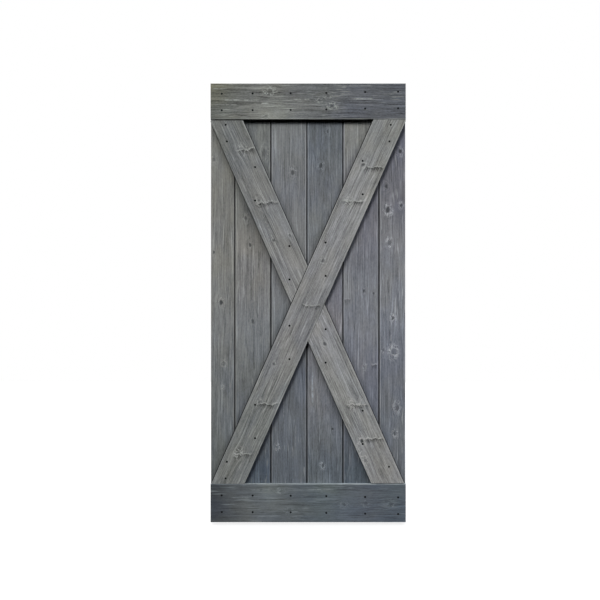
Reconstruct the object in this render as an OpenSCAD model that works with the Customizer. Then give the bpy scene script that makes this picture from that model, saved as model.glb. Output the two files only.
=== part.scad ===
// Sliding barn door slab, two layers thick. Vertical tongue-and-groove boards make the back
// layer. A top rail, a bottom rail and a crossed brace lie flat on their front and are held by
// countersunk screws. One brace runs through, and the other is cut in two against it.
// X is the width, the front looks along -Y and Z is up. The origin lies under the middle.

/* [Door] */
// Width of the door
door_w = 949; // [790:1:1140]
// Height of the door
door_h = 2134; // [1778:1:2561]

/* [Boards] */
// Thickness of the boards
board_t = 19; // [15:0.5:25]
// Width of the ripped board at the left edge
left_edge_w = 116.5; // [95:0.5:150]
// Width of the ripped board at the right edge
right_edge_w = 128.5; // [100:0.5:160]
// Open gap between the shoulders of two boards
joint_gap = 1.5; // [0.5:0.1:3]
// Size of the bevel along a front edge of a joint
front_bevel = 3.5; // [1:0.5:5]
// Size of the bevel along a back edge of a joint
back_bevel = 1.5; // [0.5:0.5:4]
// How far a tongue stands out of its shoulder
tongue_len = 7; // [4:0.5:10]
// Thickness of a tongue
tongue_t = 6; // [4:0.5:7.5]

/* [Rails] */
// Thickness of the rails and braces
trim_t = 19; // [15:0.5:25]
// Height of the top rail
top_rail_h = 175; // [145:1:210]
// Height of the bottom rail
bottom_rail_h = 187; // [145:1:225]
// Radius of the eased long edges
ease_r = 1.5; // [0.5:0.1:3]

/* [Braces] */
// Width of the braces
brace_w = 147; // [120:1:180]
// How far the long brace lies to the right of the corners
long_brace_shift = 4; // [0:1:10]
// How far the half braces lie to the left of the corners
half_brace_shift = 6; // [0:1:12]
// Gap between the long brace and each rail
long_end_gap = 0.5; // [0.2:0.1:3]
// Gap between the upper half brace and the top rail
upper_end_gap = 5; // [0.5:0.5:8]
// Gap between the upper half brace and the long brace
upper_side_gap = 3; // [0.5:0.5:6]
// Gap between the lower half brace and the bottom rail
lower_end_gap = 3; // [0.5:0.5:8]
// Gap between the lower half brace and the long brace
lower_side_gap = 0.8; // [0.3:0.1:6]

/* [Screws] */
// Diameter of a screw head
head_d = 9.2; // [7:0.1:10]
// Height of the bugle-shaped head
head_h = 4.4; // [3.5:0.1:6]
// Diameter over the thread
thread_d = 4.2; // [3.5:0.1:5.1]
// How far the heads are sunk below the face
head_sink = 0.4; // [0.2:0.1:1]
// How far the screws reach into the boards
screw_bite = 13.4; // [10:0.1:14.5]
// Distance from a rail's outer edge to its outer row of screws
rail_screw_inset = 46; // [30:1:56]
// Distance between a rail's two rows of screws
rail_screw_pitch = 81; // [60:1:85]
// Distance from a brace's side to the screws in it
brace_screw_inset = 40.5; // [25:0.5:48]

/* [Hidden] */
$fn = 48;

// Clearances
tongue_slack = 0.15;  // on each face of a tongue
tongue_end_slack = 1;  // between a tongue's tip and the bottom of its groove
tongue_tip_bevel = 1;
hole_slack = 0.05;  // around a screw, on the radius

// Layers
front_y = -(trim_t + board_t) / 2;
layer_y = front_y + trim_t;  // where the rails and braces lie on the boards
tongue_y = (board_t - tongue_t) / 2;

// Boards: the four full boards share what the two edge boards leave
full_w = (door_w - left_edge_w - right_edge_w) / 4;
left_x = -door_w / 2;
board_sides = [
    left_x,
    for (i = [0:4]) left_x + left_edge_w + i * full_w,
    door_w / 2
];
function board_mid(i) = (board_sides[i] + board_sides[i + 1]) / 2;

// Braces: the lean puts opposite corners of a brace in opposite corners of the open field
field_top = door_h - top_rail_h;
field_h = field_top - bottom_rail_h;
mid_z = bottom_rail_h + field_h / 2;
lean = acos(brace_w / norm([door_w, field_h])) - atan(field_h / door_w);
reach = norm([door_w, door_h]);  // longer than any brace
function long_brace_z(x) = mid_z + (x - long_brace_shift) / tan(lean);
function half_brace_z(x) = mid_z - (x + half_brace_shift) / tan(lean);

// Screws
screw_len = trim_t - head_sink + screw_bite;
tip_len = 5;
head_rim = 0.35;  // straight edge of the head
bugle_steps = 6;
bugle_power = 1.8;
recess_depth = 2.4;
recess_r = 2.3;
recess_tip_r = 0.7;
recess_wing = 1.1;

// Where each screw was set: sideways from the middle of its board, and a little up or down
rail_screw_dx = [-4, 0, 9, 6, 19, 27];
rail_screw_out = [-4, -3, -2, 0, 4, 6];
brace_screw_dx = [12, 3, 3, 7];
long_screw_dz = [6, 15, 24, 16];
half_screw_dz = [6, -2, -11, -2];
corner_pair = [[54, 56], [130, 29]];  // along the brace from the corner, and in from its side
corner_single = [[109, 41]];

function pair(x, z, half) = [[x, z + half], [x, z - half]];
function corner(side_x, from_x, up_z, from_z, spots) = [
    for (s = spots) [
        side_x + from_x * (s[0] * sin(lean) + s[1] * cos(lean)),
        up_z + from_z * (s[0] * cos(lean) - s[1] * sin(lean))
    ]
];

pair_half = (brace_w / 2 - brace_screw_inset) / sin(lean);
row_half = rail_screw_pitch / 2;
row_mid = rail_screw_inset + row_half;  // in from a rail's outer edge

top_rail_places = [
    for (i = [0:5]) each pair(
        board_mid(i) + rail_screw_dx[i], door_h - row_mid + rail_screw_out[i], row_half)
];
bottom_rail_places = [
    for (i = [0:5]) each pair(
        board_mid(i) + rail_screw_dx[i], row_mid - rail_screw_out[i], row_half)
];
long_brace_places = [
    each corner(left_x, 1, bottom_rail_h, 1, corner_pair),
    for (i = [1:4])
        let (x = board_mid(i) + brace_screw_dx[i - 1])
        each pair(x, long_brace_z(x) + long_screw_dz[i - 1], pair_half),
    each corner(-left_x, -1, field_top, -1, corner_pair)
];
upper_brace_places = [
    each corner(left_x, 1, field_top, -1, corner_pair),
    for (i = [1:2])
        let (x = board_mid(i) + brace_screw_dx[i - 1])
        each pair(x, half_brace_z(x) + half_screw_dz[i - 1], pair_half)
];
lower_brace_places = [
    for (i = [3:4])
        let (x = board_mid(i) + brace_screw_dx[i - 1])
        each pair(x, half_brace_z(x) + half_screw_dz[i - 1], pair_half),
    each corner(-left_x, -1, bottom_rail_h, 1, corner_single)
];
all_places = concat(
    top_rail_places, bottom_rail_places, long_brace_places,
    upper_brace_places, lower_brace_places
);

// ---- Sections ----

// Rectangle with its four corners rounded
module eased_section(w, t) {
    translate([ease_r, 0]) square([w - 2 * ease_r, t]);
    translate([0, ease_r]) square([w, t - 2 * ease_r]);
    for (x = [ease_r, w - ease_r], y = [ease_r, t - ease_r])
        translate([x, y]) circle(ease_r);
}

// Corner triangle that leaves a bevel; dx and dy point into the board
module bevel_cut(x, y, dx, dy, size) {
    polygon([[x - dx, y - dy], [x + dx * size, y - dy], [x + dx * size, y],
             [x, y + dy * size], [x - dx, y + dy * size]]);
}

// Front and back bevels of one side of a board
module side_bevels(x, dx, front, back) {
    bevel_cut(x, 0, dx, 1, front);
    bevel_cut(x, board_t, dx, -1, back);
}

// Board section from side x0 to side x1, with its front face on y = 0
module board_section(x0, x1, has_groove, has_tongue) {
    xa = has_groove ? x0 + joint_gap / 2 : x0;
    xb = has_tongue ? x1 - joint_gap / 2 : x1;
    groove_len = tongue_len + tongue_end_slack - joint_gap;
    difference() {
        translate([xa, 0]) square([xb - xa, board_t]);
        if (has_groove)
            translate([xa - 1, tongue_y - tongue_slack])
                square([groove_len + 1, tongue_t + 2 * tongue_slack]);
        side_bevels(xa, 1, has_groove ? front_bevel : ease_r, has_groove ? back_bevel : ease_r);
        side_bevels(xb, -1, has_tongue ? front_bevel : ease_r, has_tongue ? back_bevel : ease_r);
    }
    if (has_tongue) tongue_section(xb);
}

module tongue_section(x) {
    tip = x + tongue_len;
    top = tongue_y + tongue_t;
    polygon([[x - 1, tongue_y], [tip - tongue_tip_bevel, tongue_y],
             [tip, tongue_y + tongue_tip_bevel], [tip, top - tongue_tip_bevel],
             [tip - tongue_tip_bevel, top], [x - 1, top]]);
}

// ---- Screws ----

// Half outline of a screw from its head down, grown by slack for a hole
function screw_outline(slack) = [
    [0, 0],
    [head_d / 2 + slack, 0],
    for (i = [0:bugle_steps])
        let (part = i / bugle_steps, flare = (head_d - thread_d) / 2 * pow(1 - part, bugle_power))
        [thread_d / 2 + flare + slack, -head_rim - part * (head_h - head_rim)],
    [thread_d / 2 + slack, tip_len - screw_len],
    [0, -screw_len - slack]
];

module cross_recess() {
    intersection() {
        translate([0, 0, -recess_depth])
            cylinder(h = recess_depth + head_sink, r1 = recess_tip_r, r2 = recess_r);
        for (turn = [0, 90])
            rotate([0, 0, turn])
                translate([-head_d, -recess_wing / 2, -recess_depth - 1])
                    cube([2 * head_d, recess_wing, recess_depth + 2]);
    }
}

module screw() {
    difference() {
        rotate_extrude() polygon(screw_outline(0));
        cross_recess();
    }
}

// Drilled and countersunk hole that a screw fills, open to the front
module screw_hole() {
    rotate_extrude() polygon(screw_outline(hole_slack));
    translate([0, 0, -head_rim]) cylinder(h = head_rim + 2 * head_sink + 1, d = head_d + 2 * hole_slack);
}

// Sets a screw or a hole at each place, pointing into the door
module at_places(places) {
    for (p = places)
        translate([p[0], front_y + head_sink, p[1]]) rotate([90, 0, 0]) children();
}

// ---- Boards ----

module board(i) {
    x0 = board_sides[i];
    x1 = board_sides[i + 1];
    near = tongue_len + thread_d;
    difference() {
        translate([0, layer_y, 0])
            linear_extrude(door_h) board_section(x0, x1, i > 0, i < 5);
        at_places([for (p = all_places) if (p[0] > x0 - near && p[0] < x1 + near) p]) screw_hole();
    }
}

module left_edge_board() { color([0.42, 0.43, 0.41]) board(0); }
module board_2() { color([0.41, 0.43, 0.41]) board(1); }
module board_3() { color([0.42, 0.43, 0.43]) board(2); }
module board_4() { color([0.40, 0.41, 0.43]) board(3); }
module board_5() { color([0.38, 0.40, 0.43]) board(4); }
module right_edge_board() { color([0.36, 0.39, 0.43]) board(5); }

// ---- Rails ----

module rail(z, h, places) {
    difference() {
        translate([left_x, front_y, z])
            rotate([90, 0, 90]) linear_extrude(door_w) eased_section(trim_t, h);
        at_places(places) screw_hole();
    }
}

module top_rail() { color([0.41, 0.42, 0.42]) rail(field_top, top_rail_h, top_rail_places); }
module bottom_rail() { color([0.33, 0.36, 0.38]) rail(0, bottom_rail_h, bottom_rail_places); }

// ---- Braces ----

// Bar through the middle of the field, leaning right for a positive angle
module brace_bar(x, angle) {
    translate([x, front_y, mid_z]) rotate([0, angle, 0])
        translate([-brace_w / 2, 0, -reach]) linear_extrude(2 * reach)
            eased_section(brace_w, trim_t);
}

// The field between the rails, shortened by a gap at each end
module field(bottom_gap, top_gap) {
    translate([left_x, front_y - 1, bottom_rail_h + bottom_gap])
        cube([door_w, trim_t + 2, field_h - bottom_gap - top_gap]);
}

// All that lies beside the long brace: side -1 is above it and 1 is below it
module beside_long_brace(side, gap) {
    translate([long_brace_shift, front_y, mid_z]) rotate([0, lean, 0])
        translate([side * (brace_w / 2 + gap + reach) - reach, -1, -reach])
            cube([2 * reach, trim_t + 2, 2 * reach]);
}

module long_brace() {
    color([0.47, 0.47, 0.45]) difference() {
        intersection() {
            brace_bar(long_brace_shift, lean);
            field(long_end_gap, long_end_gap);
        }
        at_places(long_brace_places) screw_hole();
    }
}

module half_brace(side, gap, bottom_gap, top_gap, places) {
    difference() {
        intersection() {
            brace_bar(-half_brace_shift, -lean);
            field(bottom_gap, top_gap);
            beside_long_brace(side, gap);
        }
        at_places(places) screw_hole();
    }
}

module upper_half_brace() {
    color([0.46, 0.47, 0.45])
        half_brace(-1, upper_side_gap, 0, upper_end_gap, upper_brace_places);
}

module lower_half_brace() {
    color([0.46, 0.46, 0.45])
        half_brace(1, lower_side_gap, lower_end_gap, 0, lower_brace_places);
}

// ---- Screws in their pieces ----

module top_rail_screws() { color([0.10, 0.10, 0.11]) at_places(top_rail_places) screw(); }
module bottom_rail_screws() { color([0.10, 0.10, 0.11]) at_places(bottom_rail_places) screw(); }
module long_brace_screws() { color([0.10, 0.10, 0.11]) at_places(long_brace_places) screw(); }
module upper_brace_screws() { color([0.10, 0.10, 0.11]) at_places(upper_brace_places) screw(); }
module lower_brace_screws() { color([0.10, 0.10, 0.11]) at_places(lower_brace_places) screw(); }

left_edge_board();
board_2();
board_3();
board_4();
board_5();
right_edge_board();
top_rail();
bottom_rail();
long_brace();
upper_half_brace();
lower_half_brace();
top_rail_screws();
bottom_rail_screws();
long_brace_screws();
upper_brace_screws();
lower_brace_screws();
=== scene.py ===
import math

import bmesh
import bpy
from mathutils import Euler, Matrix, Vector


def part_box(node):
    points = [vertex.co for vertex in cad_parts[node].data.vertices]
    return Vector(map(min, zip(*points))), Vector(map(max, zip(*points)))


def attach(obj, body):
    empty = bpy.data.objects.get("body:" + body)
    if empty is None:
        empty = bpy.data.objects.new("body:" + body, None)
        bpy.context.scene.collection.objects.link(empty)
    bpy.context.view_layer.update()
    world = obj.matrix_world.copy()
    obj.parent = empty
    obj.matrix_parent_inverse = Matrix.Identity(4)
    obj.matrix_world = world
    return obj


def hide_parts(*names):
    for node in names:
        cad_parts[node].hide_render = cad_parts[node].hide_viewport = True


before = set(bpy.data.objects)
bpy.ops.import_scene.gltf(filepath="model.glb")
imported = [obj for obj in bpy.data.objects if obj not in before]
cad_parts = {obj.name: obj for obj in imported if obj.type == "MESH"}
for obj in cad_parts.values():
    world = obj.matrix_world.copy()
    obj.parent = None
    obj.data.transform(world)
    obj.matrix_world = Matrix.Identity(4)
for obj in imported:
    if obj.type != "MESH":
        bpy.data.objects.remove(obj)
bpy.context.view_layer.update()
print("frame loaded")


class Channel:
    # wraps a shader socket, so that sums on it add their own Math nodes

    def __init__(self, tree, socket):
        self.tree = tree
        self.socket = socket

    def math(self, operation, *others):
        return joinMath(self.tree, operation, (self, *others))

    def __add__(self, other):
        return self.math("ADD", other)

    __radd__ = __add__

    def __mul__(self, other):
        return self.math("MULTIPLY", other)

    __rmul__ = __mul__

    def __sub__(self, other):
        return self.math("SUBTRACT", other)

    def __rsub__(self, other):
        return joinMath(self.tree, "SUBTRACT", (other, self))

    def __truediv__(self, other):
        return self.math("DIVIDE", other)

    def __rtruediv__(self, other):
        return joinMath(self.tree, "DIVIDE", (other, self))

    def __pow__(self, power):
        return self.math("POWER", power)

    def size(self):
        return self.math("ABSOLUTE")

    def fade(self, fromValue, toValue):
        # 0 at fromValue and 1 at toValue, smooth in between
        rising = fromValue <= toValue
        node = addNode(self.tree, "ShaderNodeMapRange", {"interpolation_type": "SMOOTHSTEP"}, {
            "Value": self,
            "From Min": min(fromValue, toValue), "From Max": max(fromValue, toValue),
            "To Min": 0.0 if rising else 1.0, "To Max": 1.0 if rising else 0.0})
        return Channel(self.tree, node.outputs["Result"])

    def bell(self, width):
        # 1 where a squared distance is 0, and soft on both sides
        return (self * (-1 / (width * width))).math("EXPONENT")


def plug(tree, value, socket):
    if isinstance(value, Channel):
        tree.links.new(value.socket, socket)
    else:
        socket.default_value = value


def setStops(ramp, stops):
    while len(ramp.elements) < len(stops):
        ramp.elements.new(1.0)
    for element, (position, color) in zip(ramp.elements, stops):
        element.position = position
        element.color = color


def addNode(tree, kind, settings=None, inputs=None):
    # the settings come first, because some of them change the sockets
    node = tree.nodes.new(kind)
    for key, value in (settings or {}).items():
        if key == "stops":
            setStops(node.color_ramp, value)
        else:
            setattr(node, key, value)
    for key, value in (inputs or {}).items():
        plug(tree, value, node.inputs[key])
    return node


def joinMath(tree, operation, values):
    node = addNode(tree, "ShaderNodeMath", {"operation": operation}, dict(enumerate(values)))
    return Channel(tree, node.outputs[0])


def strongest(masks):
    top = masks[0] if masks else 0.0
    for mask in masks[1:]:
        top = top.math("MAXIMUM", mask)
    return top


def paint(red, green, blue):
    # a colour as a paint chart gives it, 0 to 255, for the shader
    def linear(part):
        part /= 255
        return part / 12.92 if part <= 0.04045 else ((part + 0.055) / 1.055) ** 2.4
    return (linear(red), linear(green), linear(blue), 1.0)


class Finish:
    # one material and the nodes that feed its shader

    def __init__(self, name):
        self.material = bpy.data.materials.new(name)
        self.material.use_nodes = True
        self.tree = self.material.node_tree
        self.shader = self.tree.nodes["Principled BSDF"]
        self.doorPlace = self.add("ShaderNodeTexCoord", output="Object")

    def add(self, kind, settings=None, inputs=None, output=0):
        return Channel(self.tree, addNode(self.tree, kind, settings, inputs).outputs[output])

    def feed(self, socket, value):
        plug(self.tree, value, self.shader.inputs[socket])

    def split(self, vector):
        node = addNode(self.tree, "ShaderNodeSeparateXYZ", None, {0: vector})
        return [Channel(self.tree, socket) for socket in node.outputs]

    def noise(self, place, wide, long, seed, detail=2.0, roughness=0.5):
        moved = self.add("ShaderNodeVectorMath", {"operation": "MULTIPLY_ADD"},
                         {0: place, 1: (wide, wide, long),
                          2: (seed * 7.3, seed * 3.7, seed * 5.1)})
        return self.add("ShaderNodeTexNoise", None, {
            "Vector": moved, "Scale": 1.0, "Detail": detail, "Roughness": roughness})

    def blend(self, factor, first, second, mode="MIX"):
        return self.add("ShaderNodeMix", {"data_type": "RGBA", "blend_type": mode},
                        {0: factor, 6: first, 7: second}, 2)

    def bump(self, height, distance, strength):
        self.feed("Normal", self.add("ShaderNodeBump", None, {
            "Height": height, "Distance": distance, "Strength": strength}))


mm = 0.001
lowTop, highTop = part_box("top_rail")
doorWidth = highTop.x - lowTop.x
frontY = lowTop.y
layerY = highTop.y  # where the rails and braces lie on the boards
fieldTop = lowTop.z
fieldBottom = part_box("bottom_rail")[1].z
fieldHeight = fieldTop - fieldBottom
fieldMiddle = (fieldTop + fieldBottom) / 2

boards = {
    "nodes": ("left_edge_board", "board_2", "board_3", "board_4", "board_5", "right_edge_board"),
    "bevel": 3.5 * mm,  # along the front edges of a joint
    "backBevel": 1.5 * mm,
    "tongue": 7 * mm,
    "tongueHalf": 3 * mm,  # half its thickness
    "tongueTip": 1 * mm,
    "grooveHalf": 3.15 * mm,
    "grooveDepth": 6.5 * mm,
}

braces = {
    "nodes": ("long_brace", "upper_half_brace", "lower_half_brace"),
    "width": 147 * mm,
    "longShift": 4 * mm,
    "halfShift": -6 * mm,
    "sideGap": {"upper_half_brace": 3 * mm, "lower_half_brace": 0.8 * mm},
    "spare": 140 * mm,  # length that is cut off again at the rails
}
lean = (math.acos(braces["width"] / math.hypot(doorWidth, fieldHeight))
        - math.atan2(fieldHeight, doorWidth))

plank = {
    "frontStep": 3 * mm,  # width of a strip of the front face
    "backStep": 9 * mm,
    "alongStep": 10 * mm,
    "firstCuts": 10,  # the long edges are cut twice, as one cut makes 100 pieces at most
    "relief": 0.32 * mm,  # how deep the brushed grain goes
    "reliefGrain": (0.011, 0.02, 0.16),  # size of its figure across, in depth and along
    "ease": 1.5 * mm,  # radius of a rail's or brace's long edges
    "easeSegments": 3,
    "smoothAngle": math.radians(35),
}

knotMarks = {
    "stretch": 1.35,  # a knot is this much longer along the grain
    "bend": 0.7,  # how far the grain bends round it
    "bendReach": 2.2,  # in radii of the knot, as the next two are
    "heart": (1.2, 0.4),
    "rim": ((0.5, 1.0), (2.9, 1.2)),  # its inner and outer edge
    "ragged": (0.016, 0.02),  # across and along
    "ringPush": 0.014,  # how far it pushes the growth rings out
    "curl": (0.04, 0.0),
    "patch": (0.5, 0.66),
    "patchShare": 0.45,
    "dark": paint(38, 40, 43),
    "darkShare": 0.85,
    "press": (0.9, 6.0, 2.0),  # radii out, how narrow and how far a knot is pressed in
    "depth": 0.5 * mm,
}

creaseMarks = {  # a lip with a painted highlight and a hollow below it with painted shade, across a brace
    "wobble": 0.05,
    "lip": (5.5 * mm, 0.5 * mm),
    "torn": (0.3, 0.55),
    "lipHighlight": 0.95,
    "hollowEnd": 30 * mm,  # below the lip
    "hollowFull": 6 * mm,
    "hollowStart": 4 * mm,
    "shade": 0.6,
    "depth": 0.9 * mm,
    "deepest": 5 * mm,  # below the lip
}

pine = {
    # noises: how fine across and along the grain, seed, detail, roughness
    "grainNoises": {  # these bend round the knots
        "broad": (28, 0.9, 0.0), "strand": (95, 5, 1.3, 3.0, 0.65),
        "dash": (175, 17, 2.9, 3.0, 0.65), "fine": (280, 5, 2.1, 2.0, 0.6),
        "fibre": (1100, 45, 20.0, 4.0, 0.75), "ringFade": (30, 3, 7.7),
        "check": (240, 6, 10.3), "scratch": (170, 11, 6.1, 1.0),
        "paleLine": (58, 1.3, 15.0, 1.0), "paleBreak": (60, 6, 16.0),
        "darkLine": (50, 1.6, 17.0, 1.0), "darkBreak": (60, 6, 18.0),
    },
    "placeNoises": {  # these don't
        "raggedAcross": (45, 30, 11.0), "raggedAlong": (45, 30, 12.0),
        "patch": (85, 60, 13.0, 3.0, 0.65), "curl": (52, 36, 21.0, 3.0, 0.6),
        "wobble": (30, 30, 14.0, 5.0, 0.7), "torn": (120, 60, 22.0),
        "blotch": (9, 5, 3.7, 4.0, 0.6), "tooth": (230, 90, 5.7), "wander": (2, 3, 4.9),
        "tint": (13, 6, 19.0, 3.0), "scratchPatch": (16, 9, 8.8), "rubbed": (60, 12, 9.4, 3.0),
    },
    # how much each adds to the tone, and to the height of the bump
    "tone": {"broad": 0.45, "strand": 0.75, "dash": 0.8, "fine": 1.3, "blotch": 0.75,
             "tooth": 0.8, "fibre": 0.9, "lateWood": -0.2, "check": -0.35, "darkLine": -0.36},
    "height": {"fine": 0.7, "dash": 0.8, "strand": 0.8, "tooth": 0.4, "fibre": 0.3,
               "lateWood": -0.3, "check": -0.5, "heart": -0.5, "hollow": -0.8},
    "ringSpacing": 5.5 * mm,
    "ringWander": 0.05,
    "ringRagged": 0.8,
    "lateWood": ((0.35, 0.9), (1.0, 0.94), (0.3, 0.6)),
    "check": (0.36, 0.28),
    "paleLine": (0.034, 0.0),
    "darkLine": (0.03, 0.0),
    "lineBreak": (0.42, 0.6),
    "endShade": 0.5,  # how much darker the end grain is
    "endReach": (1.5 * mm, 0.5 * mm),
    "tint": 0.045,
    "coolTint": (0.2, 0.4, 0.9, 1.0),
    "warmTint": (0.9, 0.75, 0.3, 1.0),
    "tintFade": (0.35, 0.65),
    "scratch": (0.6, 0.72),
    "scratchPatch": (0.4, 0.62),
    "strokeRagged": 0.006,
    "strokeFull": 0.6,  # the part of its length that has its full strength
    "strokePatch": (0.3, 0.6),
    "rubbed": (0.3, 0.6),
    "arrisPatchShare": 0.6,
    "arris": (5 * mm, 2 * mm),  # a pale arris of worn stain and painted highlight, from the edge of the face
    "paintedShade": paint(17, 18, 21),  # painted shade in the bevels of the joints, and painted shadow beside the braces
    "jointShade": (0.3 * mm, 0.8 * mm),  # inside the bevel's edge and past it
    "jointShadeShare": (0.95, 0.8),  # and how much the blotches change it
    "shadowLine": (8 * mm, 2 * mm),
    "shadowHaze": (30 * mm, 8 * mm),
    "shadowUnder": (-6 * mm, -3 * mm),
    "faceDepth": (3 * mm, 1 * mm),  # marks of the face end this far into the wood
    "bump": (0.6 * mm, 0.9),
    "roughness": (0.66, 0.3),
    "specular": 0.3,
}

braceShadows = [  # lean, shift, side, and strength of the painted shadow line beside a brace and of its painted shadow haze
    (lean, braces["longShift"], -1, 0.95, 0.28), (lean, braces["longShift"], 1, 0.3, 0.42),
    (-lean, braces["halfShift"], -1, 0.4, 0.12), (-lean, braces["halfShift"], 1, 0.9, 0.27),
]


def alongCrease(x, z, crease):
    # how far a place is along a crease from its middle, and how far above it
    creaseX, creaseZ, half, tilt, bow, strength = crease
    level, steep = math.cos(math.radians(tilt)), math.sin(math.radians(tilt))
    dx, dz = x - creaseX * mm, z - creaseZ * mm
    run = dx * level + dz * steep
    return run, dz * level - dx * steep - run * run * bow


def ontoPlank(look, x, z):
    # a place on the door to across and along on the plank
    middle = Vector(look["middle"])
    unturn = Euler((0.0, look["turn"], 0.0)).to_matrix().inverted()
    local = unturn @ (Vector((x, middle.y, z)) - middle)
    return local.x, local.z


class PineFinish(Finish):
    # the stained pine of one plank, with its painted shade and highlights, made in steps that share
    # its places and masks

    def __init__(self, name, look):
        super().__init__(name + "_pine")
        self.look = look
        self.doorX, self.doorY, self.doorZ = self.split(self.doorPlace)
        self.place = self.add("ShaderNodeMapping", {"vector_type": "TEXTURE"}, {
            "Vector": self.doorPlace, "Location": look["middle"],
            "Rotation": (0.0, look["turn"], 0.0)})
        self.across, self.depth, self.along = self.split(self.place)
        self.face = self.doorY.fade(*[look["frontY"] + reach for reach in pine["faceDepth"]])
        self.addNoises(self.place, pine["placeNoises"])
        self.markKnots()
        self.markCreases()
        self.drawGrain()
        self.stainAndShade(darkEnds=name not in braces["nodes"])
        self.wearAndHighlights()
        self.paintShade()
        self.feed("Base Color", self.color)
        self.bump(self.total("height"), *pine["bump"])
        mean, spread = pine["roughness"]
        self.feed("Roughness", mean + self.strand * spread)
        self.feed("Specular IOR Level", pine["specular"])

    def addNoises(self, place, noises):
        for layer, (wide, long, seed, *rest) in noises.items():
            setattr(self, layer, self.noise(place, wide, long, self.look["seed"] + seed, *rest))

    def total(self, use):
        # the layers, added up in the shares that their use gives
        parts = [getattr(self, layer) * share for layer, share in pine[use].items()]
        return sum(parts[1:], parts[0])

    def markKnots(self):
        # the grain bends round each knot, a dark heart sits in a pale ragged rim
        marks = knotMarks
        raggedAcross = self.across + (self.raggedAcross - 0.5) * marks["ragged"][0]
        raggedAlong = self.along + (self.raggedAlong - 0.5) * marks["ragged"][1]
        inner, outer = marks["rim"]
        self.grainAcross = self.across
        nears, hearts, rims = [], [], []
        for knotX, knotZ, size, dark, pale in self.look["knots"]:
            a, s = ontoPlank(self.look, knotX * mm, knotZ * mm)
            r = size * mm
            offset = self.across - a
            rise = (self.along - s) / marks["stretch"]
            near = (offset * offset + rise * rise).bell(marks["bendReach"] * r)
            self.grainAcross = self.grainAcross - offset * near * marks["bend"]
            nears.append(near)
            offset = raggedAcross - a
            rise = (raggedAlong - s) / marks["stretch"]
            radii = (offset * offset + rise * rise) ** 0.5 / r
            hearts.append(radii.fade(*marks["heart"]) * dark)
            rims.append(radii.fade(*inner) * radii.fade(*outer) * pale)
        self.swirl = sum(nears[1:], nears[0])
        curl = (self.curl - 0.5).size().fade(*marks["curl"])
        self.rim = strongest(rims) * (
            curl + self.patch.fade(*marks["patch"]) * marks["patchShare"])
        self.heart = strongest(hearts)

    def markCreases(self):
        # each crease is a lip and a hollow below it; the lip gets a painted highlight and the hollow
        # painted shade, besides their relief
        wobble = (self.wobble - 0.5) * creaseMarks["wobble"]
        lips, hollows = [], []
        for crease in self.look.get("creases", []):
            half, strength = crease[2], crease[-1]
            run, drop = alongCrease(self.doorX, self.doorZ, crease)
            drop = drop + wobble
            ends = run.size().fade(half * mm, half * mm / 2) * strength
            lips.append(drop.size().fade(*creaseMarks["lip"]) * ends)
            hollows.append(drop.fade(-creaseMarks["hollowEnd"], -creaseMarks["hollowFull"])
                           * drop.fade(0.0, -creaseMarks["hollowStart"]) * ends)
        self.lip = strongest(lips) * self.torn.fade(*creaseMarks["torn"]) * self.face
        self.hollow = strongest(hollows) * self.face

    def drawGrain(self):
        look = self.look
        grain = self.add("ShaderNodeCombineXYZ", None,
                         {0: self.grainAcross, 1: self.depth, 2: self.along})
        self.addNoises(grain, pine["grainNoises"])
        for layer in ("broad", "strand", "dash", "fine", "fibre", "blotch", "tooth", "wander"):
            setattr(self, layer, getattr(self, layer) - 0.5)

        # growth rings round a pith that lies behind the face
        pithAcross, pithDepth = look["pith"]
        ringX = self.grainAcross - pithAcross * mm + self.wander * pine["ringWander"]
        ringY = self.depth - pithDepth * mm
        radius = ((ringX * ringX + ringY * ringY) ** 0.5 + self.along * look["taper"]
                  + self.swirl * knotMarks["ringPush"])
        ring = (radius / pine["ringSpacing"] + self.strand * pine["ringRagged"]).math("FRACT")
        rising, falling, broken = pine["lateWood"]
        self.lateWood = (ring.fade(*rising) * ring.fade(*falling)
                              * self.ringFade.fade(*broken))
        self.check = self.check.fade(*pine["check"])

        # fine pale and dark lines that follow the grain for a long way
        self.paleLine = (self.paleLine - 0.5).size().fade(*pine["paleLine"])
        self.darkLine = (self.darkLine - 0.5).size().fade(*pine["darkLine"])
        self.paleLine = self.paleLine * self.paleBreak.fade(*pine["lineBreak"])
        self.darkLine = self.darkLine * self.darkBreak.fade(*pine["lineBreak"])

    def stainAndShade(self, darkEnds):
        look = self.look
        uneven = self.total("tone") + self.paleLine * look["lines"]
        # the crease hollows darken the tone: painted shade
        tone = look["level"] + uneven * look["rough"] - self.hollow * creaseMarks["shade"]
        if darkEnds:
            ends = [look["length"] / 2 - reach for reach in pine["endReach"]]
            tone = tone - self.along.size().fade(*ends) * pine["endShade"]
        color = self.add("ShaderNodeValToRGB", {
            "stops": [(spot, paint(*shade)) for spot, shade in look["shades"]]
        }, {0: self.along / look["length"] + 0.5})
        for washX, washZ, reach, shade, strength in look.get("washes", []):
            dx, dz = self.doorX - washX * mm, self.doorZ - washZ * mm
            wash = (dx * dx + dz * dz).bell(reach * mm) * strength
            color = self.blend(wash, color, paint(*shade))
        color = self.blend(1.0, color, tone, "MULTIPLY")
        tint = self.blend(self.tint.fade(*pine["tintFade"]),
                          pine["coolTint"], pine["warmTint"])
        self.color = self.blend(pine["tint"], color, tint, "SOFT_LIGHT")

    def wearAndHighlights(self):
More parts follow.
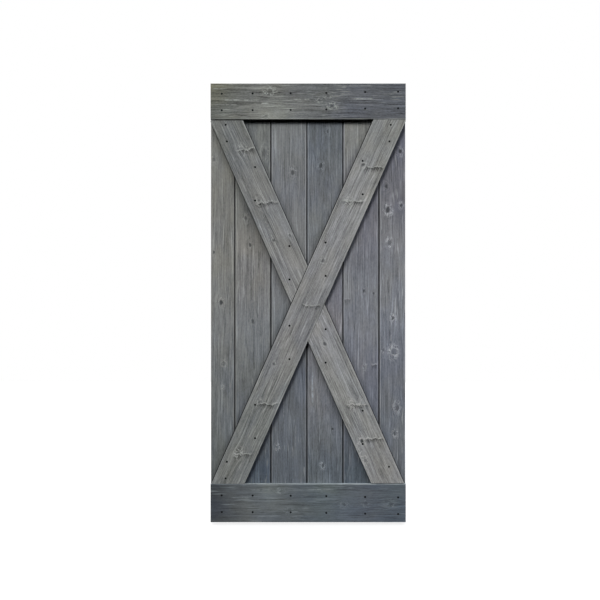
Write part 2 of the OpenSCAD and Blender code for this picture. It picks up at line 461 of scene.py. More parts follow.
        # scratches and pale marks where the stain has worn off, dark knots, pale arrises of worn
        # stain and painted highlight, and a painted highlight on the lip of each crease
        look = self.look
        scratch = (self.scratch.fade(*pine["scratch"])
                   * self.scratchPatch.fade(*pine["scratchPatch"]))
        strokes = [scratch * look["worn"], self.rim, self.lip * creaseMarks["lipHighlight"]]
        for strokeX, strokeZ, half, wide, strength in look.get("strokes", []):
            a, s = ontoPlank(look, strokeX * mm, strokeZ * mm)
            stroke = (self.across - a + self.strand * pine["strokeRagged"]).size()
            stroke = stroke.fade(wide * mm, 0.0)
            stroke = stroke * (self.along - s).size().fade(half * mm, half * mm * pine["strokeFull"])
            strokes.append(stroke * self.patch.fade(*pine["strokePatch"]) * self.face * strength)
        color = self.blend(strongest(strokes), self.color, paint(*look["pale"]))
        color = self.blend(self.heart * knotMarks["darkShare"], color, knotMarks["dark"])
        share = pine["arrisPatchShare"]
        rubbed = self.rubbed.fade(*pine["rubbed"]) * share + (1 - share)
        for side, low, high in look["arris"]:  # how pale at the low end and at the high end
            reach = [look["faceHalf"] - inside for inside in pine["arris"]]
            arris = (self.across * side).fade(*reach) * rubbed
            arris = arris * (self.along * ((high - low) / look["length"]) + (high + low) / 2)
            color = self.blend(arris, color, paint(*look["pale"]))
        self.color = color

    def paintShade(self):
        # painted shade in the bevels of a joint, and painted shadow on the boards beside each brace,
        # as a dark line and a wider haze
        look = self.look
        if "joints" not in look:
            return
        edges = []
        for turn, shift, side, line, haze in braceShadows:
            away = (self.doorX - shift) * math.cos(turn) - (self.doorZ - fieldMiddle) * math.sin(turn)
            away = away * side - braces["width"] / 2
            beside = away.fade(*pine["shadowUnder"])
            edges.append(away.fade(*pine["shadowLine"]) * beside * line)
            edges.append(away.fade(*pine["shadowHaze"]) * beside * haze)
        color = self.blend(strongest(edges) * self.face, self.color, pine["paintedShade"])
        inside, outside = pine["jointShade"]
        share, uneven = pine["jointShadeShare"]
        # painted shade in the bevels of each joint
        for side, strength in look["joints"]:
            joint = (self.across * side).fade(look["faceHalf"] - inside, look["faceHalf"] + outside)
            joint = joint * (share + self.blotch * uneven)
            color = self.blend(joint * strength, color, pine["paintedShade"])
        self.color = color


def hasTongue(node):
    return node in boards["nodes"][:-1]


def lieOf(node):
    # which way a plank's grain runs, its middle, length and half width, and where its face is
    low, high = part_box(node)
    right = high.x - (boards["tongue"] if hasTongue(node) else 0.0)
    middle = ((low.x + right) / 2, (low.y + high.y) / 2, (low.z + high.z) / 2)
    if node in boards["nodes"]:
        return dict(turn=0.0, middle=middle, length=high.z - low.z, frontY=layerY, lines=0.68,
                    faceHalf=(right - low.x) / 2 - boards["bevel"])
    if node not in braces["nodes"]:
        return dict(turn=math.pi / 2, middle=middle, length=high.x - low.x, frontY=frontY,
                    lines=0.5, faceHalf=(high.z - low.z) / 2 - plank["ease"])
    turn, shift = lean, braces["longShift"]
    if node != "long_brace":
        turn, shift = -lean, braces["halfShift"]
    return dict(turn=turn, middle=(shift, (frontY + layerY) / 2, fieldMiddle), frontY=frontY,
                length=fieldHeight / math.cos(lean), lines=0.6,
                faceHalf=braces["width"] / 2 - plank["ease"])


# shades run along the grain, from the low or left end; knots are x, z, radius, dark, pale;
# creases are x, z, half length, tilt, bow, strength; strokes are x, z, half length, half
# width, strength; washes are x, z, reach, shade, strength: all in millimetres on the door
woodLooks = {}
woodLooks["left_edge_board"] = dict(
    seed=1.0, level=1.0, rough=0.82, worn=0.3, pale=(150, 150, 145),
    pith=(70, 60), taper=0.012, arris=((1, 0.15, 0.3), (-1, 0.15, 0.2)), joints=((1, 0.85),),
    shades=[(0.10, (84, 88, 87)), (0.24, (99, 102, 103)), (0.34, (104, 107, 108)),
        (0.45, (115, 116, 114)), (0.6, (116, 116, 112)), (0.75, (112, 112, 108)),
        (0.85, (118, 119, 115))],
    knots=[(-425, 1069, 11, 1.0, 0.8), (-459, 1312, 7, 0.9, 0.3), (-459, 1767, 9, 0.3, 0.8),
        (-410, 770, 7, 0.3, 0.8), (-418, 655, 6, 0.2, 0.7)])
woodLooks["board_2"] = dict(
    seed=2.0, level=1.0, rough=0.82, worn=0.4, pale=(152, 154, 150),
    pith=(-30, 75), taper=0.014, arris=((-1, 0.35, 1.0), (1, 0.1, 0.3)),
    joints=((-1, 0.8), (1, 0.9)),
    shades=[(0.12, (72, 80, 89)), (0.24, (94, 98, 102)), (0.34, (102, 105, 106)),
        (0.45, (113, 115, 115)), (0.55, (122, 121, 118)), (0.64, (117, 116, 113)),
        (0.7, (103, 104, 102)), (0.86, (107, 110, 109))],
    knots=[(-303, 1480, 9, 0.5, 0.5), (-284, 1351, 8, 0.8, 0.3), (-269, 979, 9, 0.7, 0.4),
        (-213, 1800, 16, 0.5, 0.5)],
    strokes=[(-268, 1300, 70, 5, 0.5), (-262, 1120, 60, 4, 0.4), (-275, 880, 70, 4, 0.4)])
woodLooks["board_3"] = dict(
    seed=3.0, level=1.03, rough=0.78, worn=0.45, pale=(154, 156, 158),
    pith=(40, 60), taper=0.02, arris=((-1, 0.15, 0.9), (1, 0.0, 0.9)),
    joints=((-1, 0.95), (1, 0.9)),
    shades=[(0.12, (88, 93, 98)), (0.24, (93, 97, 102)), (0.34, (88, 92, 99)),
        (0.45, (105, 108, 109)), (0.55, (112, 113, 114)), (0.65, (111, 113, 115)),
        (0.75, (105, 107, 110)), (0.86, (111, 114, 116))],
    knots=[(-75, 1704, 11, 0.7, 0.6), (-152, 362, 8, 0.2, 0.9)],
    strokes=[(-40, 1820, 70, 4, 0.4), (-120, 560, 70, 4, 0.4), (-60, 420, 60, 4, 0.3)])
woodLooks["board_4"] = dict(
    seed=4.0, level=0.99, rough=0.82, worn=0.35, pale=(146, 152, 158),
    pith=(8, 55), taper=0.075, arris=((-1, 0.1, 0.9), (1, 0.0, 0.4)),
    joints=((-1, 0.85), (1, 0.9)),
    shades=[(0.12, (88, 94, 99)), (0.24, (102, 105, 110)), (0.34, (105, 107, 112)),
        (0.45, (124, 123, 127)), (0.55, (111, 111, 117)), (0.65, (108, 111, 112)),
        (0.75, (102, 105, 109)), (0.86, (94, 99, 104))],
    washes=[(20, 600, 80, (118, 119, 122), 0.6)],
    strokes=[(22, 655, 85, 7, 1.0), (27, 520, 60, 4, 0.6), (100, 480, 60, 4, 0.4)],
    knots=[(62, 1738, 9, 0.7, 0.6), (96, 1908, 6, 0.6, 0.5), (118, 449, 7, 0.9, 0.4),
        (71, 274, 8, 0.3, 0.8)])
woodLooks["board_5"] = dict(
    seed=5.0, level=1.02, rough=0.78, worn=0.4, pale=(152, 154, 158),
    pith=(-60, 70), taper=0.012, arris=((-1, 0.2, 1.0), (1, 0.1, 0.6)),
    joints=((-1, 0.8), (1, 0.95)),
    shades=[(0.12, (74, 82, 90)), (0.24, (97, 100, 107)), (0.34, (105, 107, 115)),
        (0.45, (114, 116, 121)), (0.55, (116, 118, 122)), (0.65, (109, 109, 115)),
        (0.75, (99, 99, 107)), (0.86, (121, 122, 119))],
    strokes=[(270, 960, 80, 5, 0.4), (282, 757, 14, 7, 1.0), (240, 1400, 70, 4, 0.4)],
    knots=[(271, 1125, 6, 1.0, 0.4), (319, 1115, 6, 0.8, 0.4), (280, 756, 7, 0.4, 0.8)],
    creases=[(190, 1086, 22, 0, 0.0, 0.6), (325, 768, 20, 0, 0.0, 0.7)])
woodLooks["right_edge_board"] = dict(
    seed=6.0, level=1.02, rough=0.78, worn=0.5, pale=(178, 180, 182),
    pith=(-20, 65), taper=0.02, arris=((-1, 0.3, 0.5), (1, 0.1, 0.1)), joints=((-1, 0.95),),
    shades=[(0.14, (96, 100, 106)), (0.24, (100, 104, 110)), (0.34, (107, 110, 117)),
        (0.45, (114, 117, 123)), (0.55, (119, 121, 125)), (0.65, (115, 116, 120)),
        (0.75, (103, 104, 110)), (0.86, (96, 97, 106))],
    washes=[(460, 1560, 90, (98, 98, 106), 0.6)],
    strokes=[(430, 980, 30, 4, 0.5), (395, 640, 60, 3, 0.3), (405, 905, 30, 4, 0.5)],
    knots=[(449, 1807, 10, 1.0, 0.5), (382, 1636, 9, 0.9, 0.2), (390, 1521, 12, 0.8, 0.9),
        (455, 1543, 8, 0.8, 0.5), (397, 1363, 10, 0.5, 0.9), (416, 994, 8, 0.5, 0.8),
        (368, 838, 7, 0.5, 0.5), (416, 829, 14, 0.2, 0.8), (436, 556, 12, 0.5, 0.6),
        (426, 430, 9, 0.4, 0.6)],
    creases=[(392, 1497, 24, -12, 6.0, 0.5), (392, 1545, 22, 18, -6.0, 0.4)])
# the top rail's shades and washes paint light besides its tone: warmer and lighter at the left end,
# darker and bluer towards the right, as the warm light from the left and the bluish light from the
# right fall
woodLooks["top_rail"] = dict(
    seed=7.0, level=0.89, rough=1.15, worn=0.6, pale=(160, 164, 158),
    pith=(30, 55), taper=0.012, arris=((1, 0.35, 0.5), (-1, 0.1, 0.1)),
    shades=[(0.06, (106, 108, 101)), (0.19, (104, 105, 100)), (0.31, (112, 113, 109)),
        (0.44, (105, 106, 104)), (0.57, (101, 104, 104)), (0.69, (93, 96, 101)),
        (0.81, (88, 91, 97)), (0.94, (85, 88, 93))],
    washes=[(-474, 2134, 80, (112, 110, 88), 0.8), (-150, 1985, 75, (124, 127, 121), 0.7),
        (-40, 1990, 70, (114, 116, 113), 0.5)],
    knots=[(-186, 2098, 12, 0.2, 0.9), (-205, 1975, 8, 0.4, 0.9), (52, 2050, 6, 0.3, 0.7),
        (115, 2024, 10, 0.7, 0.9), (95, 2075, 8, 0.3, 0.7)],
    strokes=[(-330, 2053, 105, 4, 1.0), (-210, 2037, 20, 5, 1.0), (-35, 2056, 50, 4, 0.9),
        (265, 2059, 60, 4, 0.8), (220, 2122, 110, 4, 0.5), (-430, 2108, 40, 5, 0.5),
        (-400, 2030, 70, 4, 0.5)])
woodLooks["bottom_rail"] = dict(
    seed=8.0, level=0.97, rough=0.6, worn=0.35, pale=(134, 142, 144),
    pith=(-35, 60), taper=0.012, arris=((-1, 0.3, 0.8), (1, 0.1, 0.1)),
    shades=[(0.02, (62, 66, 70)), (0.08, (74, 78, 81)), (0.19, (87, 91, 93)),
        (0.31, (90, 95, 98)), (0.44, (86, 92, 96)), (0.57, (84, 92, 96)), (0.69, (84, 91, 98)),
        (0.81, (83, 89, 97)), (0.94, (79, 87, 95))],
    knots=[(-89, 56, 9, 0.3, 0.4), (-133, 153, 8, 0.3, 0.7), (176, 85, 9, 0.4, 0.35),
        (280, 90, 9, 0.4, 0.3), (402, 90, 12, 0.3, 0.35)],
    washes=[(-200, 160, 70, (102, 108, 108), 0.7), (90, 165, 60, (98, 107, 108), 0.6),
        (-474, 90, 55, (60, 64, 69), 0.7)],
    strokes=[(-230, 158, 60, 5, 0.5), (60, 160, 70, 5, 0.6), (-330, 120, 50, 4, 0.5)])
woodLooks["long_brace"] = dict(
    seed=9.0, level=1.02, rough=1.0, worn=0.5, pale=(166, 168, 164),
    pith=(50, 45), taper=0.008, arris=((1, 0.3, 0.5), (-1, 0.1, 0.2)),
    shades=[(0.07, (108, 110, 108)), (0.18, (113, 116, 115)), (0.29, (120, 121, 120)),
        (0.4, (123, 123, 123)), (0.5, (123, 123, 122)), (0.61, (128, 128, 128)),
        (0.72, (131, 131, 130)), (0.83, (129, 129, 127)), (0.94, (123, 124, 121))],
    knots=[(266, 1738, 7, 0.8, 0.8), (196, 1566, 11, 0.1, 0.9), (74, 1271, 9, 0.5, 0.7),
        (-167, 770, 7, 0.7, 0.7), (-338, 336, 12, 0.0, 0.9), (-238, 582, 8, 0.2, 0.7)],
    creases=[(318, 1726, 62, 3, -0.5, 1.0), (222, 1562, 66, 0, 1.5, 1.0),
        (18, 1057, 56, -4, 1.0, 0.7), (-192, 577, 58, 0, 1.0, 0.9),
        (-322, 333, 56, 0, 1.0, 0.8)])
woodLooks["upper_half_brace"] = dict(
    seed=10.0, level=1.0, rough=1.0, worn=0.4, pale=(160, 162, 158), pith=(-20, 50),
    taper=0.012, arris=((1, 0.4, 0.5), (-1, 0.1, 0.1)),
    shades=[(0.55, (124, 124, 123)), (0.61, (122, 122, 121)), (0.72, (119, 120, 119)),
        (0.83, (113, 114, 113)), (0.94, (108, 110, 108))],
    knots=[(-318, 1812, 13, 0.0, 0.8), (-240, 1560, 9, 0.3, 0.8), (-167, 1373, 6, 0.8, 0.5),
        (-89, 1395, 7, 0.7, 0.5)],
    creases=[(-300, 1815, 60, 4, 0.0, 1.0), (-200, 1558, 62, 5, -0.8, 1.0)],
    strokes=[(-190, 1420, 110, 3, 0.8), (-178, 1400, 100, 3, 0.5), (-380, 1900, 60, 5, 0.4)])
woodLooks["lower_half_brace"] = dict(
    seed=11.0, level=1.04, rough=1.0, worn=0.45, pale=(168, 168, 164), pith=(30, 55),
    taper=0.01, arris=((1, 0.5, 0.4), (-1, 0.1, 0.1)),
    shades=[(0.06, (124, 124, 123)), (0.17, (128, 129, 128)), (0.28, (129, 130, 129)),
        (0.4, (127, 127, 127))],
    knots=[(81, 867, 9, 0.7, 0.6), (261, 396, 10, 1.0, 1.0), (212, 575, 11, 0.0, 0.8),
        (262, 582, 9, 0.0, 0.8), (280, 300, 9, 0.1, 0.8), (246, 366, 8, 0.0, 0.9),
        (262, 332, 8, 0.0, 0.9)],
    creases=[(236, 572, 64, 2, 0.0, 1.0), (316, 408, 60, 0, 0.0, 1.0)])
for node, look in woodLooks.items():
    look.update(lieOf(node))


screw = {
    "sides": 32,
    "headRadius": 4.6 * mm,
    "rounding": (0.2 * mm, 0.15 * mm),  # of the edge of the head's face, in and down
    "rim": 0.35 * mm,  # straight edge of the head
    "headHeight": 4.4 * mm,
    "headSteps": 6,
    "bugle": 1.8,  # how fast the underside of the head narrows
    "neckRadius": 2.1 * mm,
    "neckEnd": 11 * mm,
    "neckTaper": 1 * mm,
    "coreRadius": 1.4 * mm,
    "length": 32 * mm,
    "tip": 5 * mm,
    "point": 1 * mm,  # the last of the tip
    "pointRadius": 0.4 * mm,
    "endRadius": 0.05 * mm,
    "threadSize": 0.62 * mm,
    "threadRadius": 2.08 * mm,
    "threadPitch": 2.2 * mm,
    "threadTurns": 7,
    "threadSteps": 16,
    "sink": 0.4 * mm,
    "turn": 0.6,  # of each screw from the one before it
    "wing": 1.1 * mm,  # width of a wing of the recess
    "wingReach": 2.25 * mm,
    "recessDepth": 2.4 * mm,
    "recessTaper": 0.4,
    "recessAbove": 0.5 * mm,
    "mottle": (900, 900, 3.0, 3.0),
    "colors": (paint(2, 2, 3), paint(9, 9, 10)),
    "roughness": (0.45, 0.25),
    "specular": 0.12,
}

rows = ("top_rail_screws", "bottom_rail_screws", "long_brace_screws", "upper_brace_screws",
        "lower_brace_screws")


def mottledFinish(name, values):
    finish = Finish(name)
    mottle = finish.noise(finish.doorPlace, *values["mottle"])
    finish.feed("Base Color", finish.blend(mottle, *values["colors"]))
    finish.feed("Roughness", values["roughness"][0] + mottle * values["roughness"][1])
    finish.feed("Specular IOR Level", values["specular"])
    if "bump" in values:
        finish.bump(mottle, *values["bump"])
    return finish.material


def chooseOnly(*pieces):
    # nothing but these pieces is selected, and the last one is active
    bpy.ops.object.select_all(action="DESELECT")
    for piece in pieces:
        piece.select_set(True)
        bpy.context.view_layer.objects.active = piece


def addPrimitive(kind, name, **settings):
    bpy.ops.object.select_all(action="DESELECT")
    getattr(bpy.ops.mesh, f"primitive_{kind}_add")(**settings)
    piece = bpy.context.object
    piece.name = name
    return piece


def settle(piece):
    # moves a piece's place, turn and size into its mesh
    chooseOnly(piece)
    bpy.ops.object.transform_apply(location=True, rotation=True, scale=True)


def pick(piece, kind, test):
    # in edit mode, selects only the verts, edges or faces that pass the test
    bpy.ops.mesh.select_mode(type={"verts": "VERT", "edges": "EDGE", "faces": "FACE"}[kind])
    bpy.ops.mesh.select_all(action="DESELECT")
    mesh = bmesh.from_edit_mesh(piece.data)
    for item in getattr(mesh, kind):
        if test(item):
            item.select_set(True)
    mesh.select_flush_mode()
    bmesh.update_edit_mesh(piece.data)


def edgeMiddle(edge):
    return (edge.verts[0].co + edge.verts[1].co) / 2


def edgeSpan(edge):
    return edge.verts[0].co - edge.verts[1].co


def cutPlane(point, normal, clear=False):
    pickAll()
    bpy.ops.mesh.bisect(plane_co=point, plane_no=normal, clear_outer=clear, use_fill=clear)


def editMode(on=True):
    bpy.ops.object.mode_set(mode="EDIT" if on else "OBJECT")


def pickAll():
    bpy.ops.mesh.select_all(action="SELECT")


def faceOutwards():
    pickAll()
    bpy.ops.mesh.normals_make_consistent(inside=False)
    editMode(False)


def applyModifier(piece, kind, **settings):
    modifier = piece.modifiers.new(kind.lower(), kind)
    for key, value in settings.items():
        setattr(modifier, key, value)
    chooseOnly(piece)
    bpy.ops.object.modifier_apply(modifier=modifier.name)


def combine(piece, tool, operation, **settings):
    applyModifier(piece, "BOOLEAN", operation=operation, solver="EXACT", object=tool, **settings)
    removePiece(tool)


def removePiece(piece):
    bpy.data.objects.remove(piece, do_unlink=True)


def headProfile():
    # depth below the face, and radius, down to the neck
    rim, radius = screw["rim"], screw["headRadius"]
    drop = screw["headHeight"] - rim
    flare = radius - screw["neckRadius"]
    inwards, down = screw["rounding"]
    profile = [(0.0, radius - inwards), (down, radius), (rim, radius)]
    for step in range(1, screw["headSteps"] + 1):
        part = step / screw["headSteps"]
        narrow = flare * (1 - part) ** screw["bugle"]
        profile.append((rim + part * drop, screw["neckRadius"] + narrow))
    return profile


def turnedShape(name, profile):
    # a disc that faces the front, extruded back and resized ring by ring
    piece = addPrimitive("circle", name, vertices=screw["sides"], radius=profile[0][1],
                         fill_type="NGON", rotation=(math.pi / 2, 0.0, 0.0))
    piece.location.y = profile[0][0]
    settle(piece)
    editMode()
    bpy.ops.mesh.select_mode(type="FACE")
    pickAll()
    for (fromDepth, fromRadius), (toDepth, toRadius) in zip(profile, profile[1:]):
        bpy.ops.mesh.extrude_region_move(
            TRANSFORM_OT_translate={"value": (0.0, toDepth - fromDepth, 0.0)})
        scale = toRadius / fromRadius
        bpy.ops.transform.resize(value=(scale, 1.0, scale))
    faceOutwards()
    return piece


def screwThread():
    # a small triangle swept round the core
    thread = addPrimitive("circle", "screw_thread", vertices=3, radius=screw["threadSize"],
                          fill_type="NOTHING")
    crest = max(vert.co.y for vert in thread.data.vertices)
    thread.rotation_euler = (0.0, 0.0, -math.pi / 2)
    thread.location = (screw["threadRadius"] - crest, screw["neckEnd"], 0.0)
    settle(thread)
    applyModifier(thread, "SCREW", axis="Y", angle=2 * math.pi, steps=screw["threadSteps"],
                  render_steps=screw["threadSteps"], iterations=screw["threadTurns"],
                  screw_offset=screw["threadPitch"], use_normal_calculate=True)
    chooseOnly(thread)
    editMode()
    pickAll()
    bpy.ops.mesh.remove_doubles(threshold=0.001 * mm)
    bpy.ops.mesh.select_all(action="DESELECT")
    bpy.ops.mesh.select_mode(type="EDGE")
    bpy.ops.mesh.select_non_manifold()
    bpy.ops.mesh.fill()
    faceOutwards()
    return thread


def crossCutter():
    # a square post whose four sides are drawn out to wings, narrower at the bottom
    cutter = addPrimitive("cube", "cross_cutter", size=1.0)
    height = screw["recessDepth"] + screw["recessAbove"]
    cutter.scale = (screw["wing"], height, screw["wing"])
    cutter.location.y = height / 2 - screw["recessAbove"]
    settle(cutter)
    editMode()
    pick(cutter, "faces", lambda face: abs(face.normal.y) < 0.5)
    bpy.ops.mesh.extrude_faces_move(
        TRANSFORM_OT_shrink_fatten={"value": screw["wingReach"] - screw["wing"] / 2})
    pick(cutter, "verts", lambda vert: vert.co.y > screw["recessDepth"] - 0.01 * mm)
    bpy.ops.transform.resize(value=(screw["recessTaper"], 1.0, screw["recessTaper"]))
    editMode(False)
    return cutter


def modelScrew():
    # a bugle head with a cross recess, a neck, and a thread that bites the boards
    core = [(screw["neckEnd"] - screw["neckTaper"], screw["neckRadius"]),
            (screw["neckEnd"], screw["coreRadius"]),
            (screw["length"] - screw["tip"], screw["coreRadius"]),
            (screw["length"] - screw["point"], screw["pointRadius"]),
            (screw["length"], screw["endRadius"])]
    piece = turnedShape("screw", headProfile() + core)
    combine(piece, screwThread(), "UNION")
    combine(piece, crossCutter(), "DIFFERENCE")
    chooseOnly(piece)
    editMode()
    pickAll()
    bpy.ops.mesh.remove_doubles(threshold=0.004 * mm)
    bpy.ops.mesh.dissolve_degenerate(threshold=0.002 * mm)
    editMode(False)
    return piece


def screwPlaces(node):
    # the middle of each head in a row, found from the rims on the door's face
    rims = []
    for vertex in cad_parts[node].data.vertices:
        spot = vertex.co
        if abs(spot.y - frontY - screw["sink"]) > 0.05 * mm:
            continue
        near = [rim for rim in rims if (rim[0] - spot).length < 2.5 * screw["headRadius"]]
        if near:
            near[0].append(spot)
        else:
            rims.append([spot])
    places = []
    for rim in rims:
        xs, zs = [spot.x for spot in rim], [spot.z for spot in rim]
        places.append(((min(xs) + max(xs)) / 2, (min(zs) + max(zs)) / 2))
    return sorted(places)


def setCopies(pattern, places, turn=0.0):
    # copies a piece to each place, every copy with its own mesh, and joins them
    copies = []
    for count, (x, z) in enumerate(places):
        twin = pattern.copy()
        twin.data = pattern.data.copy()
        bpy.context.scene.collection.objects.link(twin)
        twin.location = (x, frontY + screw["sink"], z)
        twin.rotation_euler = (0.0, turn * count, 0.0)
        copies.append(twin)
    chooseOnly(*copies)
    bpy.ops.object.transform_apply(location=True, rotation=True, scale=True)
    bpy.ops.object.join()
    return bpy.context.object


def smooth(piece):
    chooseOnly(piece)
    bpy.ops.object.shade_smooth_by_angle(angle=plank["smoothAngle"])


screwMetal = mottledFinish("black_phosphate", screw)
oneScrew = modelScrew()
allPlaces = []
for node in rows:
    places = screwPlaces(node)
    allPlaces += places
    row = setCopies(oneScrew, places, screw["turn"])
    row.name = node[:-1] + "_row"
    row.data.materials.clear()
    row.data.materials.append(screwMetal)
    smooth(row)
    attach(row, "root")
    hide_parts(node)
removePiece(oneScrew)
print("screws modelled:", len(allPlaces))


hole = {
    "slack": 0.05 * mm,
    "flareStart": 1.5 * mm,  # above the sunk head
    "flareRadius": 1.7 * mm,  # more than the head's
    "faceRadius": 0.6 * mm,
    "endRadius": 0.1 * mm,
    "mottle": (700, 700, 9.0, 3.0),
    "colors": (paint(10, 10, 11), paint(26, 26, 27)),  # painted shade in the crushed mouth of each hole
    "roughness": (0.7, 0.2),
    "specular": 0.15,
    "bump": (0.3 * mm, 0.6),
}

brushed = bpy.data.textures.new("brushed_grain", "CLOUDS")
brushed.noise_scale = 1.0
brushed.noise_depth = 3


def chamfer(piece, x, y, size, segments=1):
    # cuts one corner of the section, before it is drawn out
    near = 0.1 * mm
    pick(piece, "verts", lambda vert: abs(vert.co.x - x) < near and abs(vert.co.y - y) < near)
    bpy.ops.mesh.bevel(offset=size, offset_type="OFFSET", affect="VERTICES", segments=segments)


def cutGroove(piece, halfWidth):
    edge = boards["grooveDepth"] - halfWidth
    for y in (-boards["grooveHalf"], boards["grooveHalf"]):
        cutPlane((0.0, y, 0.0), (0.0, 1.0, 0.0))
    cutPlane((edge, 0.0, 0.0), (1.0, 0.0, 0.0))
    pick(piece, "faces", lambda face: (
        face.calc_center_median().x < edge
        and abs(face.calc_center_median().y) < boards["grooveHalf"]))
    bpy.ops.mesh.delete(type="FACE")


def drawTongue(piece, halfWidth):
    for y in (-boards["tongueHalf"], boards["tongueHalf"]):
        cutPlane((0.0, y, 0.0), (0.0, 1.0, 0.0))
    pick(piece, "edges", lambda edge: (
        edgeMiddle(edge).x > halfWidth - 0.1 * mm and abs(edgeMiddle(edge).y) < 1 * mm))
    bpy.ops.mesh.extrude_edges_move(
        TRANSFORM_OT_translate={"value": (boards["tongue"], 0.0, 0.0)})


def cutGrid(piece, width, halfDepth, length):
    for y, step in ((-halfDepth, plank["frontStep"]), (halfDepth, plank["backStep"])):
        pick(piece, "edges", lambda edge: (
            abs(edgeMiddle(edge).y - y) < 0.05 * mm and abs(edgeSpan(edge).x) > 20 * mm))
        bpy.ops.mesh.subdivide(number_cuts=round(width / step) - 1)
    lengthwise = round(length / plank["firstCuts"] / plank["alongStep"])
    for pieces in (plank["firstCuts"], lengthwise):
        pick(piece, "edges", lambda edge: abs(edgeSpan(edge).z) > plank["alongStep"] * 2)
        bpy.ops.mesh.subdivide(number_cuts=pieces - 1)


def drawPlank(name, width, depth, length, groove, tongue, corners):
    # the end of a plank as a flat face, drawn out to its length and then cut into a fine grid
    piece = addPrimitive("plane", name, size=1.0, location=(0.0, 0.0, -length / 2))
    piece.scale = (width, depth, 1.0)
    settle(piece)
    halfWidth, halfDepth = width / 2, depth / 2
    editMode()
    if groove:
        cutGroove(piece, halfWidth)
    if tongue:
        drawTongue(piece, halfWidth)
    pickAll()
    bpy.ops.mesh.dissolve_limited(angle_limit=math.radians(1))
    if tongue:
        for y in (-boards["tongueHalf"], boards["tongueHalf"]):
            chamfer(piece, halfWidth + boards["tongue"], y, boards["tongueTip"])
    for side, front, size, segments in corners:
        chamfer(piece, side * halfWidth, front * halfDepth, size, segments)
    bpy.ops.mesh.select_mode(type="FACE")
    pickAll()
    bpy.ops.mesh.extrude_region_move(TRANSFORM_OT_translate={"value": (0.0, 0.0, length)})
    cutGrid(piece, width, halfDepth, length)
    faceOutwards()
    return piece


def trimBrace(piece, node):
    # cuts a brace off at the rails, the door's sides and the long brace
    low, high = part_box(node)
    chooseOnly(piece)
    editMode()
    for point, normal in ((high, (0.0, 0.0, 1.0)), (low, (0.0, 0.0, -1.0)),
                          (high, (1.0, 0.0, 0.0)), (low, (-1.0, 0.0, 0.0))):
        cutPlane(point, normal, clear=True)
    if node in braces["sideGap"]:
        side = -1 if node == "upper_half_brace" else 1
        acrossLong = Vector((math.cos(lean), 0.0, -math.sin(lean)))
        reach = braces["width"] / 2 + braces["sideGap"][node]
        spot = Vector((braces["longShift"], 0.0, fieldMiddle)) + acrossLong * side * reach
        cutPlane(spot, acrossLong * -side, clear=True)
    editMode(False)


def markWeights(piece, look):
    # how deep knots and creases go, as vertex groups of the front face
    knots = piece.vertex_groups.new(name="knots")
    creases = piece.vertex_groups.new(name="creases")
    face = look["frontY"] + 0.1 * mm
    radii, narrow, reach = knotMarks["press"]
    for vertex in piece.data.vertices:
        x, y, z = vertex.co
        if y > face:
            continue
        for knotX, knotZ, size, dark, pale in look["knots"]:
            away = math.hypot(x - knotX * mm, (z - knotZ * mm) / knotMarks["stretch"]) / (size * mm)
            if away < reach:
                knots.add([vertex.index], math.exp(-(away - radii) ** 2 * narrow), "REPLACE")
        for crease in look.get("creases", []):
            half, strength = crease[2], crease[-1]
            run, drop = alongCrease(x, z, crease)
            ends = 1.0 - abs(run) / (half * mm)
            if -creaseMarks["hollowEnd"] < drop < 0.0 and ends > 0.0:
                deep = min(-drop / creaseMarks["deepest"], 1.0)
                deep *= 1.0 + drop / creaseMarks["hollowEnd"]
                creases.add([vertex.index], deep * min(1.0, ends * 2) * strength, "REPLACE")


def brushFace(piece, look):
    # wears the soft grain back, always inwards, so that the plank keeps its size
    bpy.ops.object.select_all(action="DESELECT")
    bpy.ops.object.empty_add(location=Vector(look["middle"]) + Vector((look["seed"], 0.0, 0.0)))
    guide = bpy.context.object
    guide.rotation_euler = (0.0, look["turn"], 0.0)
    guide.scale = plank["reliefGrain"]
    bpy.context.view_layer.update()
    applyModifier(piece, "DISPLACE", texture=brushed, texture_coords="OBJECT",
                  texture_coords_object=guide, direction="NORMAL",
                  strength=-plank["relief"] * look["rough"], mid_level=0.0)
    removePiece(guide)
    markWeights(piece, look)
    for group, marks in (("knots", knotMarks), ("creases", creaseMarks)):
        applyModifier(piece, "DISPLACE", vertex_group=group, direction="Y",
                      strength=marks["depth"], mid_level=0.0)


def drillPattern():
    # the shape of a screw and its flared mouth, which cuts the holes
    slack = hole["slack"]
    mouth = [(-hole["flareStart"], screw["headRadius"] + hole["flareRadius"]),
             (-screw["sink"], screw["headRadius"] + hole["faceRadius"]),
             (screw["rounding"][1], screw["headRadius"] + slack)]
    head = [(depth, radius + slack) for depth, radius in headProfile()[2:]]
    end = [(screw["length"] - screw["tip"], screw["neckRadius"] + slack),
           (screw["length"] + slack, hole["endRadius"])]
    return turnedShape("drill", mouth + head + end)


def drillPlank(piece, node):
    # holes for the screws that go through this plank
    low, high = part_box(node)
    near = screw["headRadius"]
    places = [(x, z) for x, z in allPlaces
              if low.x - near < x < high.x + near and low.z - near < z < high.z + near]
    if node in braces["nodes"]:
        places = [(x, z) for x, z in places
                  if abs(ontoPlank(woodLooks[node], x, z)[0]) < braces["width"] / 2]
    if places:
        combine(piece, setCopies(drill, places), "DIFFERENCE", material_mode="TRANSFER")


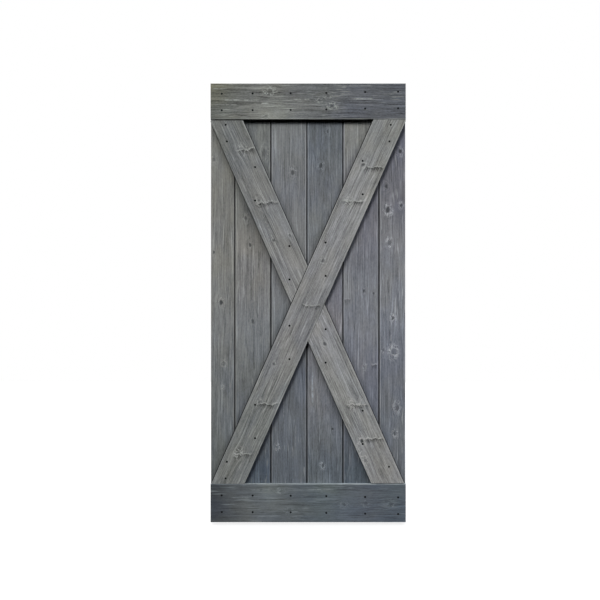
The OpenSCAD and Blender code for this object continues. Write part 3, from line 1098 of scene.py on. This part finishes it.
def modelPlank(node, look):
    low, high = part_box(node)
    groove, tongue = node in boards["nodes"][1:], hasTongue(node)
    length = look["length"]
    if node in boards["nodes"]:
        width = high.x - low.x - (boards["tongue"] if tongue else 0.0)
        corners = [(-1, -1, boards["bevel"] if groove else plank["ease"], 1),
                   (-1, 1, boards["backBevel"], 1),
                   (1, -1, boards["bevel"] if tongue else plank["ease"], 1),
                   (1, 1, boards["backBevel"], 1)]
    else:
        width = high.z - low.z
        corners = [(side, front, plank["ease"], plank["easeSegments"])
                   for side in (-1, 1) for front in (-1, 1)]
    if node in braces["nodes"]:
        width, length = braces["width"], length + braces["spare"]
    piece = drawPlank(node + "_plank", width, high.y - low.y, length, groove, tongue, corners)
    piece.rotation_euler = (0.0, look["turn"], 0.0)
    piece.location = look["middle"]
    settle(piece)
    if node in braces["nodes"]:
        trimBrace(piece, node)
    brushFace(piece, look)
    piece.data.materials.append(PineFinish(node, look).material)
    drillPlank(piece, node)
    smooth(piece)
    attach(piece, "root")
    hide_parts(node)


drill = drillPattern()
# the holes' walls and mouths get a near-black finish: painted shade round each screw head
drill.data.materials.append(mottledFinish("shaded_hole_mouth", hole))
for node, look in woodLooks.items():
    modelPlank(node, look)
    print("modelled", node)
removePiece(drill)


studio = {
    "floorSize": 14.0,
    "floorDrop": 12 * mm,  # the door hangs this far above the floor
    "floorShade": (0.14, 0.14, 0.14, 1.0),
    "floorRoughness": 0.9,
    "floorGlow": 0.74,  # keeps the floor pale inside the door's shadow
    "viewWidth": 2.917,  # what the camera sees at the door's front
    "lens": 50.0,
    "sensor": 36.0,
    "cameraX": -39.7 * mm,
    "cameraZ": 1.0808,
    "skyLight": 2.3,
    "skyColor": (0.95, 0.97, 1.0, 1.0),
    "skyRise": (0.35, 0.65),  # how high the light of the sky starts, and where it is full
    "white": (1.0, 1.0, 1.0, 1.0),
}

lamps = {  # the direction the light comes from, its width in degrees, strength and colour
    "keySun": ((-8.0, -19.0, 23.0), 16.0, 2.2, (1.0, 0.985, 0.95)),
    "sideSun": ((21.0, -19.0, 25.0), 34.0, 0.9, (0.84, 0.89, 1.0)),
    "backSun": ((-8.0, 20.0, 14.0), 40.0, 1.4, (1.0, 0.99, 0.97)),
}


def addLamp(name, source, angle, strength, color):
    data = bpy.data.lights.new(name, "SUN")
    data.angle = math.radians(angle)
    data.energy = strength
    data.color = color
    lamp = bpy.data.objects.new(name, data)
    lamp.rotation_euler = Vector(source).to_track_quat("Z", "Y").to_euler()
    bpy.context.scene.collection.objects.link(lamp)


def addFloor():
    floor = addPrimitive("plane", "studio_floor", size=studio["floorSize"],
                         location=(0.0, 0.0, -studio["floorDrop"]))
    finish = Finish("pale_floor")
    finish.feed("Base Color", studio["floorShade"])
    finish.feed("Roughness", studio["floorRoughness"])
    finish.feed("Emission Color", studio["white"])
    finish.feed("Emission Strength", studio["floorGlow"])
    floor.data.materials.append(finish.material)
    floor.visible_diffuse = False  # the floor throws no light up onto the door
    floor.visible_glossy = False


def addSky():
    # the camera sees white, and the door gets a dim even light from above, so that the
    # underside of a rail stays dark
    world = bpy.data.worlds.new("studio_sky")
    bpy.context.scene.world = world
    world.use_nodes = True
    tree = world.node_tree
    tree.nodes.clear()

    def part(kind, output, inputs=None):
        return Channel(tree, addNode(tree, kind, None, inputs).outputs[output])

    height = part("ShaderNodeSeparateXYZ", "Z", {0: part("ShaderNodeTexCoord", "Generated")})
    light = height.fade(*studio["skyRise"]) * studio["skyLight"]
    glow = part("ShaderNodeBackground", 0, {"Color": studio["skyColor"], "Strength": light})
    seen = part("ShaderNodeBackground", 0, {"Color": studio["white"]})
    isCamera = part("ShaderNodeLightPath", "Is Camera Ray")
    both = part("ShaderNodeMixShader", 0, {0: isCamera, 1: glow, 2: seen})
    addNode(tree, "ShaderNodeOutputWorld", None, {"Surface": both})


def addCamera():
    data = bpy.data.cameras.new("studio_camera")
    data.lens = studio["lens"]
    data.sensor_width = studio["sensor"]
    camera = bpy.data.objects.new("studio_camera", data)
    distance = studio["viewWidth"] * studio["lens"] / studio["sensor"]
    camera.location = (studio["cameraX"], frontY - distance, studio["cameraZ"])
    camera.rotation_euler = (math.pi / 2, 0.0, 0.0)
    bpy.context.scene.collection.objects.link(camera)
    bpy.context.scene.camera = camera


for name, lamp in lamps.items():
    addLamp(name, *lamp)
addFloor()
addSky()
addCamera()
bpy.context.scene.view_settings.view_transform = "Standard"
print("studio ready")
